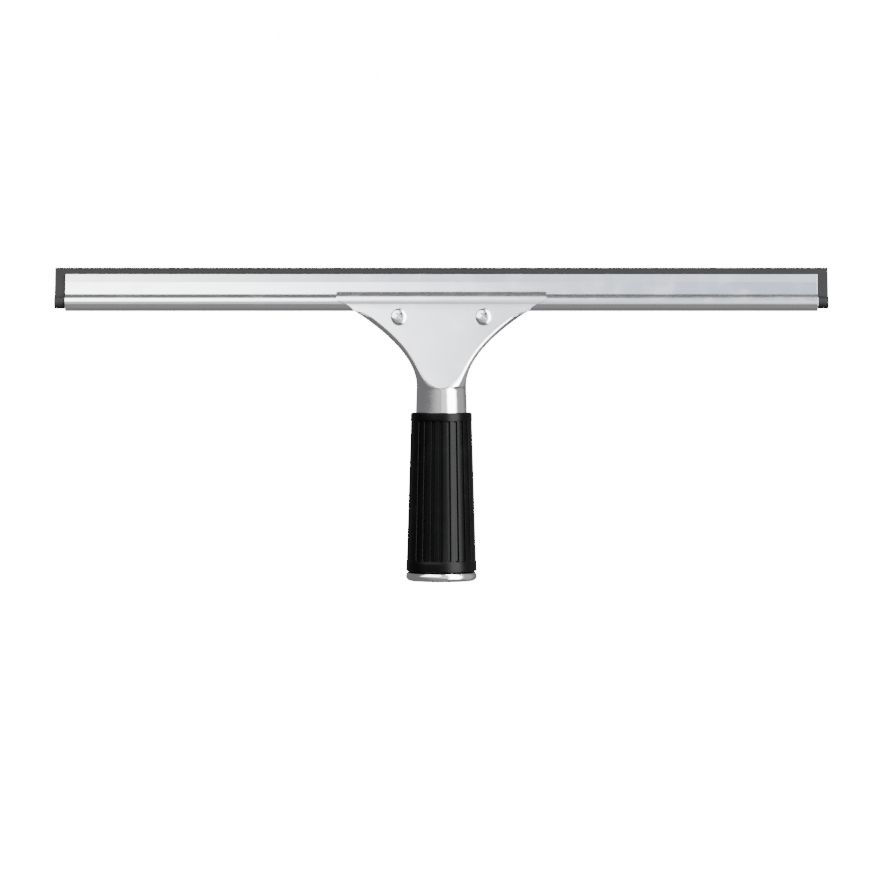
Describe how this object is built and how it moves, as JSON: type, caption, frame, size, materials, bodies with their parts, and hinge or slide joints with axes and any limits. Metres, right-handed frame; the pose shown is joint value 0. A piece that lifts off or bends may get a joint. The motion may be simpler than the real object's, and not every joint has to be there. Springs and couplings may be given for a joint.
{
  "type": "window cleaning squeegee",
  "caption": "Hand squeegee: wide rubber blade in a folded steel channel, clamped by a screwed front plate on a flared steel tube handle with a ribbed rubber grip.",
  "frame": {"origin": "centre of the pole socket's mouth, at the bottom of the end ring", "axes": "+X along the blade, -Y is the side with the clamp plate and screws, +Z along the handle from the socket's mouth to the head"},
  "size_m": [0.45, 0.0414, 0.1823],
  "materials": {
    "steel_handle": "smooth stainless, satin to bright",
    "steel_plate": "fine satin stainless",
    "steel_channel": "drawn stainless, fine grain along its length",
    "polished_steel": "polished",
    "nut_steel": "zinc plated",
    "grip_rubber": "smooth moulded black rubber, slight sheen",
    "blade_rubber": "matt dark grey rubber"
  },
  "bodies": {
    "handle": {"handle_body": "steel_handle", "end_ring": "polished_steel", "grip_sleeve": "grip_rubber", "clinch_nut_left": "nut_steel", "clinch_nut_right": "nut_steel"},
    "clamp_plate": {"front_clamp_plate": "steel_plate"},
    "screw_left": {"clamp_screw_left": "polished_steel"},
    "screw_right": {"clamp_screw_right": "polished_steel"},
    "channel": {"blade_channel": "steel_channel"},
    "rubber": {"rubber_blade": "blade_rubber"}
  },
  "joints": [
    {"name": "clamp_open", "type": "slide", "parent": "handle", "child": "clamp_plate", "axis": [0, -0.9744, 0.225], "range_m": [0, 0.0024]},
    {"name": "screw_left_turn", "type": "hinge", "parent": "clamp_plate", "child": "screw_left", "pos_m": [-0.0245, -0.00582, 0.15332], "axis": [0, -0.9744, 0.225], "range_deg": [0, 1080]},
    {"name": "screw_right_turn", "type": "hinge", "parent": "clamp_plate", "child": "screw_right", "pos_m": [0.0245, -0.00582, 0.15332], "axis": [0, -0.9744, 0.225], "range_deg": [0, 1080]},
    {"name": "channel_slide", "type": "slide", "parent": "handle", "child": "channel", "axis": [1, 0, 0], "range_m": [-0.24, 0.24]},
    {"name": "rubber_slide", "type": "slide", "parent": "channel", "child": "rubber", "axis": [1, 0, 0], "range_m": [-0.4, 0.4]}
  ],
  "couplings": [
    {"joint": "screw_left_turn", "follows": "clamp_open", "rad_per_m": 7854},
    {"joint": "screw_right_turn", "follows": "clamp_open", "rad_per_m": 7854}
  ]
}
